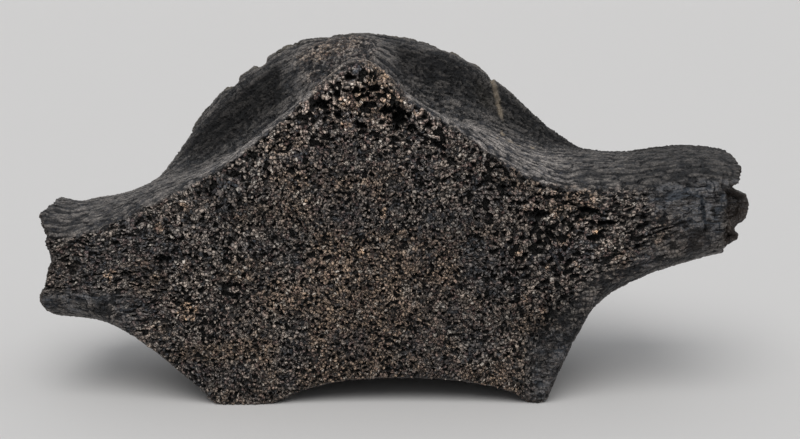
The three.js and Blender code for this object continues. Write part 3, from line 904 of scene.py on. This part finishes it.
def bone_material():
    mat = bpy.data.materials.new("mineralised_bone")
    k = Nodes(mat)
    obj = k.add("ShaderNodeTexCoord").outputs["Object"]
    spg, cavi, cha, wrm, cl, rm, void_shade, pal, shn, brk, tone_and_light = (
        k.attr(a) for a in ("spongy", "cavity", "chance", "warm", "cool", "rim", "deep", "pale", "sheen", "broken", "tone"))

    # spongy bone: dark gaps painted as shade, rounded grains from charcoal to grey, tan and a few pale ones, partly
    # painted glints
    speck = k.noise(obj, 1500.0, 2.0, 0.5)
    patch = k.noise(obj, 130.0, 3.0, 0.6)
    bent = k.warp(obj, 1100.0, 0.0008)
    edge = k.voronoi(bent, 860.0, "Distance", "DISTANCE_TO_EDGE")
    lot = k.add("ShaderNodeSeparateColor")
    k.put(lot.inputs[0], k.voronoi(bent, 860.0, "Color"))
    lot_a, lot_b, lot_c = lot.outputs[0], lot.outputs[1], lot.outputs[2]
    tone = k.math("ADD", k.math("ADD", k.math("MULTIPLY", cha, 0.42), k.math("MULTIPLY", patch, 0.30)), k.math("MULTIPLY", lot_a, 0.28))
    strut = k.mix(k.ramp(tone, 0.30, 0.72), rgb(0.013, 0.011, 0.010), rgb(0.545, 0.455, 0.385))
    strut = k.mix(k.math("MULTIPLY", wrm, k.ramp(tone, 0.25, 0.7, 0.10, 0.85)), strut, rgb(0.60, 0.385, 0.225))
    strut = k.mix(k.math("MULTIPLY", cl, 0.48), strut, rgb(0.062, 0.072, 0.092))
    strut = k.mix(k.ramp(lot_b, 0.62, 0.85, 0.0, 0.40), strut, rgb(0.100, 0.112, 0.128))
    strut = k.mix(k.ramp(lot_b, 0.36, 0.14, 0.0, 0.35), strut, rgb(0.285, 0.175, 0.155))
    # a few pale grains, partly paler bone and partly painted glints
    pale_grain_glint = k.math("MULTIPLY", k.ramp(lot_c, 0.84, 0.92), k.ramp(cha, 0.25, 0.6))
    strut = k.mix(k.math("MULTIPLY", pale_grain_glint, 0.75), strut, rgb(0.62, 0.56, 0.49))
    # painted shade: dark specks and dark gaps between the grains, where the bump also sinks them
    strut = k.mix(k.ramp(speck, 0.54, 0.68, 0.0, 0.55), strut, rgb(0.010, 0.008, 0.008))
    strut = k.mix(k.ramp(edge, 0.03, 0.17, 0.90, 0.0), strut, rgb(0.006, 0.005, 0.005))
    # painted shade: near black in the cavities of the spongy bone
    sp_col = k.mix(k.ramp(cavi, 0.12, 0.72), strut, rgb(0.004, 0.0035, 0.003))
    # painted shade: the big voids and holes near black
    sp_col = k.mix(void_shade, sp_col, rgb(0.0015, 0.0015, 0.0015))

    # outer bone: near black with fine grey fibres
    fib = k.noise(k.stretch(obj, (260.0, 760.0, 320.0)), 1.0, 4.0, 0.75)
    lon = k.noise(k.stretch(obj, (260.0, 900.0, 1500.0)), 1.0, 4.0, 0.65)
    fmix = k.add("ShaderNodeMix", _data_type="FLOAT")
    k.put(fmix.inputs["Factor"], shn)
    k.put(fmix.inputs[2], fib)
    k.put(fmix.inputs[3], lon)
    fib = fmix.outputs[0]
    mott = k.noise(obj, 45.0, 5.0, 0.6)
    grit = k.noise(obj, 800.0, 3.0, 0.6)
    lay = k.math("ADD", k.math("MULTIPLY", fib, 0.62), k.math("MULTIPLY", cha, 0.38))
    co = k.mix(k.ramp(lay, 0.40, 0.61), rgb(0.002, 0.002, 0.003), rgb(0.215, 0.194, 0.178))
    co = k.mix(k.ramp(grit, 0.50, 0.66, 0.0, 0.6), co, rgb(0.006, 0.006, 0.007))
    co = k.mix(k.ramp(grit, 0.44, 0.30, 0.0, 0.75), co, rgb(0.130, 0.118, 0.110))
    co = k.mix(k.ramp(mott, 0.50, 0.80, 0.0, 0.3), co, rgb(0.030, 0.027, 0.024))
    # painted shade: near black in the cavities of the outer bone
    co = k.mix(k.ramp(cavi, 0.15, 0.80), co, rgb(0.003, 0.003, 0.004))
    co = k.mix(k.ramp(lot_b, 0.70, 0.95, 0.0, 0.40), co, rgb(0.022, 0.026, 0.036))
    # painted shade in the gaps between the cells of the outer bone
    co = k.mix(k.ramp(edge, 0.02, 0.12, 0.55, 0.0), co, rgb(0.006, 0.006, 0.007))
    co = k.mix(k.math("MULTIPLY", rm, k.ramp(mott, 0.35, 0.65, 0.10, 0.75)), co, rgb(0.120, 0.103, 0.066))
    # painted highlight: bluish glints on the raised fibres of the skin
    co = k.mix(k.math("MULTIPLY", k.math("MULTIPLY", shn, cl), k.ramp(lay, 0.45, 0.6, 0.0, 0.5)), co, rgb(0.115, 0.135, 0.165))

    # the tone scales in painted light and shade as well as the bone's own tone
    col = k.scaled(k.mix(spg, co, sp_col), tone_and_light)
    col = k.mix(k.math("MULTIPLY", brk, k.ramp(grit, 0.3, 0.7, 0.45, 0.85)), col, rgb(0.017, 0.010, 0.006))
    col = k.mix(pal, col, rgb(0.33, 0.27, 0.20))
    rough_co = k.math("MAXIMUM", k.ramp(fib, 0.3, 0.7, 0.32, 0.58), k.ramp(tone_and_light, 0.25, 0.75, 0.85, 0.30))
    rough_sp = k.ramp(cavi, 0.0, 0.6, 0.24, 0.80)
    ro = k.add("ShaderNodeMix", _data_type="FLOAT")
    k.put(ro.inputs["Factor"], spg)
    k.put(ro.inputs[2], rough_co)
    k.put(ro.inputs[3], rough_sp)

    keep = k.math("SUBTRACT", 1.0, spg)
    hgt = k.math("ADD", k.math("ADD", k.math("MULTIPLY", speck, -0.7), k.math("MULTIPLY", k.math("MINIMUM", edge, 0.25), 2.2)),
                 k.math("MULTIPLY", k.math("ADD", k.math("MULTIPLY", fib, 1.6), k.math("MULTIPLY", grit, -1.2)), keep))
    bump_node = k.add("ShaderNodeBump")
    bump_node.inputs["Strength"].default_value = 0.8
    bump_node.inputs["Distance"].default_value = 0.00036
    k.put(bump_node.inputs["Height"], hgt)

    sh = k.add("ShaderNodeBsdfPrincipled")
    k.put(sh.inputs["Base Color"], col)
    k.put(sh.inputs["Roughness"], ro.outputs[0])
    sh.inputs["Specular IOR Level"].default_value = 0.38
    sh.inputs["IOR"].default_value = 1.5
    k.put(sh.inputs["Normal"], bump_node.outputs[0])
    out = k.add("ShaderNodeOutputMaterial")
    k.l.new(sh.outputs[0], out.inputs[0])
    return mat


bone_mat = bone_material()

# ---------------------------------------------------------------------- pieces


def lay_out(P, T, own):
    """corner map coordinates: every chart flat in its own rectangle, packed in rows"""
    uv = np.zeros((len(T), 3, 2))
    g = np.where(own >= 0, group[own], -1)
    way = np.where(own >= 0, facing[own], -1)
    n = np.cross(P[T[:, 1]] - P[T[:, 0]], P[T[:, 2]] - P[T[:, 0]])
    cap_way = np.abs(n).argmax(1) * 2 + (n[np.arange(len(n)), np.abs(n).argmax(1)] < 0)
    way = np.where(way < 0, cap_way, way)
    g = np.where(g < 0, group.max() + 1 + cap_way, g)
    C = P[T]
    plane = {0: (1, 2, 1), 1: (1, 2, -1), 2: (0, 2, -1), 3: (0, 2, 1), 4: (0, 1, 1), 5: (0, 1, -1)}
    for wv, (a, b, s) in plane.items():
        m = way == wv
        uv[m, :, 0] = C[m][:, :, a] * s
        uv[m, :, 1] = C[m][:, :, b]
    ids, gi = np.unique(g, return_inverse=True)
    gi = gi.reshape(-1)
    lo2 = np.full((len(ids), 2), 1e9)
    hi2 = np.full((len(ids), 2), -1e9)
    for c in range(3):
        np.minimum.at(lo2, gi, uv[:, c])
        np.maximum.at(hi2, gi, uv[:, c])
    size = hi2 - lo2
    scale = np.where(ids > group.max(), 0.12, 1.0)          # hidden cut faces stay small
    size = size * scale[:, None]
    order = np.argsort(-size[:, 1], kind="stable")
    gapw = 0.006

    def rows(k):
        pos = np.zeros((len(ids), 2))
        cx, cy, rowh = gapw, gapw, 0.0
        for i in order:
            wv, hv = size[i] * k
            if cx + wv + gapw > 1.0:
                cx, cy, rowh = gapw, cy + rowh + gapw, 0.0
            if wv + 2 * gapw > 1.0:
                return None
            pos[i] = cx, cy
            cx += wv + gapw
            rowh = max(rowh, hv)
        return pos if cy + rowh + gapw <= 1.0 else None

    lo_k, hi_k = 1e-5, 1.0 / max(size.max(), 1e-6)
    best = rows(lo_k)
    kk = lo_k
    for _ in range(24):
        mid = 0.5 * (lo_k + hi_k)
        got = rows(mid)
        if got is None:
            hi_k = mid
        else:
            lo_k, best, kk = mid, got, mid
    uv = (uv - lo2[gi][:, None]) * scale[gi][:, None, None] * kk + best[gi][:, None]
    return np.clip(uv, 0.0, 1.0), kk


def piece(name, data, nodes):
    P, Nn, A, T, own = data
    me = bpy.data.meshes.new(name)
    me.vertices.add(len(P))
    me.vertices.foreach_set("co", (P * MM).astype(np.float32).ravel())
    me.loops.add(len(T) * 3)
    me.loops.foreach_set("vertex_index", T.astype(np.int32).ravel())
    me.polygons.add(len(T))
    me.polygons.foreach_set("loop_start", (np.arange(len(T)) * 3).astype(np.int32))
    me.update(calc_edges=True)
    me.polygons.foreach_set("use_smooth", np.ones(len(T), bool))
    for i, a in enumerate(names):
        at = me.attributes.new(a, "FLOAT", "POINT")
        at.data.foreach_set("value", A[:, i].astype(np.float32))
    uvs, kk = lay_out(P, T, own)
    layer = me.uv_layers.new(name="OFBake")
    layer.data.foreach_set("uv", uvs.astype(np.float32).ravel())
    me.materials.append(bone_mat)
    me.validate(verbose=False)
    me.normals_split_custom_set_from_vertices(Nn.astype(np.float32))
    ob = bpy.data.objects.new(name, me)
    bpy.context.scene.collection.objects.link(ob)
    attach(ob, "root")
    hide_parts(*nodes)
    print(name, "faces", len(T), "vertices", len(P), "map mm/px at 1024", round(1 / (kk * 1024), 3))
    return ob


piece("bone_centrum", body, ("centrum", "arch_root_left", "arch_root_right"))
piece("bone_end_plate", plate_piece, ("end_plate",))
piece("bone_process_left", left_piece, ("transverse_process_left",))
piece("bone_process_right", right_piece, ("transverse_process_right",))

# ------------------------------------------------------------ floor, light, view


def sweep():
    """a pale floor that curves up behind"""
    pts = [(-4.0, 0.0)]
    r, yb = 0.5, 2.6
    for i in range(25):
        a = math.pi / 2 * i / 24
        pts.append((yb + r * math.sin(a), r - r * math.cos(a)))
    pts.append((yb + r, 1.2))
    verts, faces = [], []
    for py, pz in pts:
        verts += [(-4.0, py, pz), (4.0, py, pz)]
    for i in range(len(pts) - 1):
        faces.append((2 * i, 2 * i + 1, 2 * i + 3, 2 * i + 2))
    me = bpy.data.meshes.new("floor")
    me.from_pydata(verts, [], faces)
    me.polygons.foreach_set("use_smooth", [True] * len(faces))
    ob = bpy.data.objects.new("floor", me)
    bpy.context.scene.collection.objects.link(ob)
    mat = bpy.data.materials.new("floor_paper")
    k = Nodes(mat)
    sh = k.add("ShaderNodeBsdfPrincipled")
    sh.inputs["Base Color"].default_value = rgb(0.70, 0.69, 0.68)
    sh.inputs["Roughness"].default_value = 0.9
    sh.inputs["Specular IOR Level"].default_value = 0.2
    out = k.add("ShaderNodeOutputMaterial")
    k.l.new(sh.outputs[0], out.inputs[0])
    me.materials.append(mat)


sweep()


sun = bpy.data.lights.new("window", "SUN")
sun.energy = 1.45
sun.angle = rad(46.0)
sun.color = (1.0, 0.99, 0.975)
sun_ob = bpy.data.objects.new("window", sun)
sun_ob.rotation_euler = (rad(32.0), 0, rad(-6.0))
bpy.context.scene.collection.objects.link(sun_ob)

world = bpy.data.worlds.new("studio")
world.use_nodes = True
wn, wl = world.node_tree.nodes, world.node_tree.links
sky = wn.new("ShaderNodeTexCoord")
split = wn.new("ShaderNodeSeparateXYZ")
wl.new(sky.outputs["Generated"], split.inputs[0])
grade = wn.new("ShaderNodeMapRange")
grade.inputs["From Min"].default_value = 0.0
grade.inputs["From Max"].default_value = 0.75
grade.inputs["To Min"].default_value = 0.16
grade.inputs["To Max"].default_value = 0.60
wl.new(split.outputs["Z"], grade.inputs["Value"])
wn["Background"].inputs[0].default_value = (0.95, 0.97, 1.0, 1.0)
wl.new(grade.outputs[0], wn["Background"].inputs[1])
bpy.context.scene.world = world

cam_data = bpy.data.cameras.new("camera")
cam_data.sensor_fit = "HORIZONTAL"
cam_data.sensor_width = 36.0
cam_data.lens = 67.8
cam_data.clip_start = 0.01
cam = bpy.data.objects.new("camera", cam_data)
bpy.context.scene.collection.objects.link(cam)
ELEV, DIST = rad(13.0), 0.470
target = (np.array([4.7, 0.0, 61.0]) + SHIFT) * MM
cam.location = (target[0], target[1] - DIST * math.cos(ELEV), target[2] + DIST * math.sin(ELEV))
cam.rotation_euler = (math.pi / 2 - ELEV, 0, 0)
bpy.context.scene.camera = cam
bpy.context.scene.view_settings.view_transform = "Standard"
